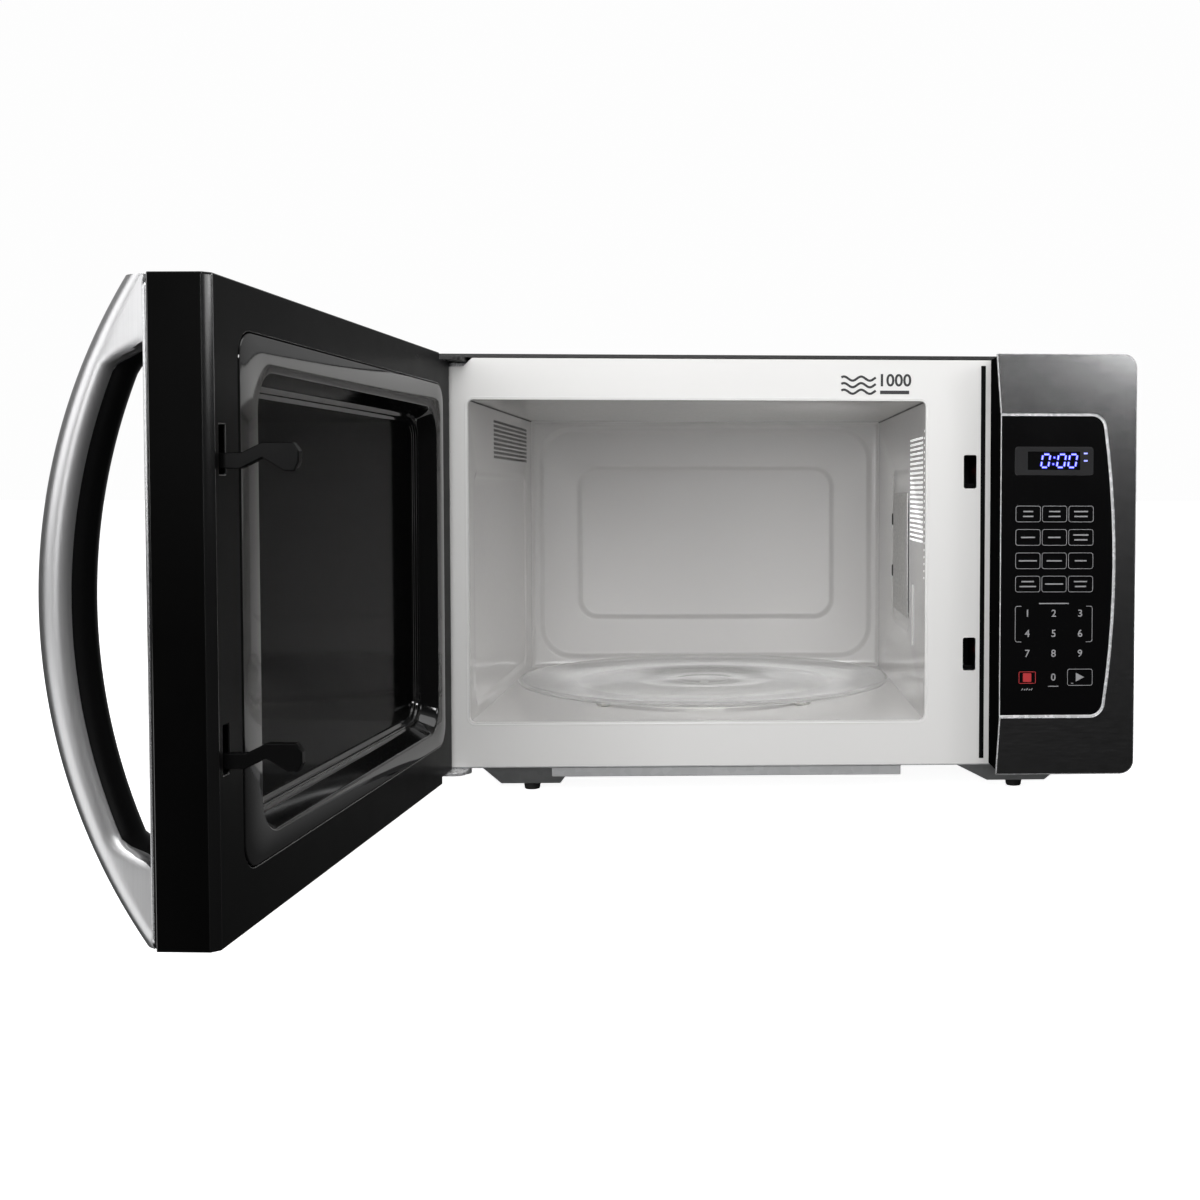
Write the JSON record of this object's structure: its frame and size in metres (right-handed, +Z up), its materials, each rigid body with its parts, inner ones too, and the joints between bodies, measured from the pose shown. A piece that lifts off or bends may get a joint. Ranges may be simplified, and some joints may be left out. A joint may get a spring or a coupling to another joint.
{
  "type": "countertop microwave oven",
  "caption": "Countertop microwave oven with a side-hung door standing open, glass turntable, bowed handle and keypad panel.",
  "frame": {"origin": "middle of the footprint of the whole oven with its door standing open, at worktop level", "axes": "+Z up, +Y from the oven face to the back, +X to the right when facing the oven"},
  "size_m": [0.6052, 0.7889, 0.324],
  "materials": {
    "cabinet_black": "satin",
    "galvanised": "satin",
    "white_enamel": "gloss",
    "grey_enamel": "semi-gloss",
    "mica": "matt",
    "rubber": "matt",
    "zinc": "plated",
    "steel": "satin",
    "natural_plastic": "matt",
    "glass_clear": "clear",
    "copper": "varnished",
    "laminations": "painted",
    "aluminium": "satin",
    "black_plastic": "semi-gloss",
    "board_green": "satin",
    "lamp_glass": "frosted",
    "red_plastic": "satin",
    "brushed_stainless": "brushed",
    "black_glass": "gloss",
    "keypad_black": "gloss",
    "chrome_trim": "polished",
    "smoke": "gloss"
  },
  "bodies": {
    "cabinet": {"outer_cabinet": "cabinet_black", "base_plate": "galvanised", "rear_panel": "galvanised", "front_frame": "white_enamel", "cavity_left_wall": "grey_enamel", "cavity_right_wall": "grey_enamel", "cavity_ceiling": "grey_enamel", "cavity_floor": "grey_enamel", "cavity_back": "grey_enamel", "waveguide_cover": "mica", "rubber_feet": "rubber", "upper_hinge_bracket": "cabinet_black", "lower_hinge_bracket": "zinc", "hinge_screws": "zinc", "cabinet_screws": "zinc", "cord_gland": "rubber", "turntable_motor": "steel", "waveguide": "galvanised", "magnetron_yoke": "galvanised", "magnetron_core": "copper", "magnetron_filter_box": "galvanised", "transformer_core": "laminations", "transformer_windings": "copper", "capacitor": "aluminium", "capacitor_strap": "galvanised", "hv_diode": "black_plastic", "fan_shroud": "natural_plastic", "fan_motor": "laminations", "filter_board": "board_green", "lamp_holder": "natural_plastic", "cavity_lamp": "lamp_glass", "thermal_cutout": "black_plastic", "interlock_bracket": "black_plastic", "door_switches": "natural_plastic", "control_housing": "black_plastic", "control_bezel": "brushed_stainless", "keypad_panel": "keypad_black", "keypad_trim": "chrome_trim", "display_window": "smoke", "display_module": "black_plastic", "control_board": "board_green"},
    "door": {"door_frame": "black_plastic", "door_choke_cover": "black_plastic", "door_pan": "steel", "door_inner_film": "smoke", "door_glass": "black_glass", "door_front_trim": "brushed_stainless", "handle_grip": "brushed_stainless", "handle_liner": "black_plastic", "latch_spring": "zinc"},
    "latch": {"latch_bar": "black_plastic"},
    "turntable": {"drive_coupler": "natural_plastic"},
    "tray": {"glass_tray": "glass_clear"},
    "ring": {"roller_ring": "natural_plastic"},
    "roller_a": {"roller_1": "natural_plastic"},
    "roller_b": {"roller_2": "natural_plastic"},
    "roller_c": {"roller_3": "natural_plastic"},
    "fan": {"fan_rotor": "black_plastic"},
    "upper_plunger": {"upper_switch_plunger": "red_plastic"},
    "lower_plunger": {"lower_switch_plunger": "red_plastic"}
  },
  "joints": [
    {"name": "door_hinge", "type": "hinge", "parent": "cabinet", "child": "door", "pos_m": [-0.19831, 0.00339, 0.16], "axis": [0, 0, 1], "range_deg": [0, 94]},
    {"name": "latch_slide", "type": "slide", "parent": "door", "child": "latch", "axis": [0, 0, 1], "range_m": [0, 0.004], "stiffness_N_per_m": 400, "springref_m": -0.002, "deforming": ["latch_spring"]},
    {"name": "turntable_drive", "type": "hinge", "parent": "cabinet", "child": "turntable", "pos_m": [-0.00891, 0.17739, 0.0545], "axis": [0, 0, 1], "continuous": true},
    {"name": "tray_lift", "type": "slide", "parent": "turntable", "child": "tray", "axis": [0, 0, 1], "range_m": [0, 0.06]},
    {"name": "ring_roll", "type": "hinge", "parent": "cabinet", "child": "ring", "pos_m": [-0.00891, 0.17739, 0.0545], "axis": [0, 0, 1], "continuous": true},
    {"name": "roller_spin_a", "type": "hinge", "parent": "ring", "child": "roller_a", "pos_m": [-0.00891, 0.27139, 0.0545], "axis": [0, 1, 0], "continuous": true},
    {"name": "roller_spin_b", "type": "hinge", "parent": "ring", "child": "roller_b", "pos_m": [-0.09032, 0.13039, 0.0545], "axis": [-0.866, -0.5, 0], "continuous": true},
    {"name": "roller_spin_c", "type": "hinge", "parent": "ring", "child": "roller_c", "pos_m": [0.07249, 0.13039, 0.0545], "axis": [0.866, -0.5, 0], "continuous": true},
    {"name": "fan_spin", "type": "hinge", "parent": "cabinet", "child": "fan", "pos_m": [0.23059, 0.31939, 0.232], "axis": [0, 1, 0], "continuous": true},
    {"name": "upper_switch", "type": "slide", "parent": "cabinet", "child": "upper_plunger", "axis": [0, 1, 0], "range_m": [0, 0.002], "stiffness_N_per_m": 150, "springref_m": -0.001},
    {"name": "lower_switch", "type": "slide", "parent": "cabinet", "child": "lower_plunger", "axis": [0, 1, 0], "range_m": [0, 0.002], "stiffness_N_per_m": 150, "springref_m": -0.001}
  ],
  "couplings": [
    {"joint": "ring_roll", "follows": "turntable_drive", "ratio": 0.5},
    {"joint": "roller_spin_a", "follows": "turntable_drive", "ratio": -7.8333},
    {"joint": "roller_spin_b", "follows": "turntable_drive", "ratio": -7.8333},
    {"joint": "roller_spin_c", "follows": "turntable_drive", "ratio": -7.8333}
  ]
}
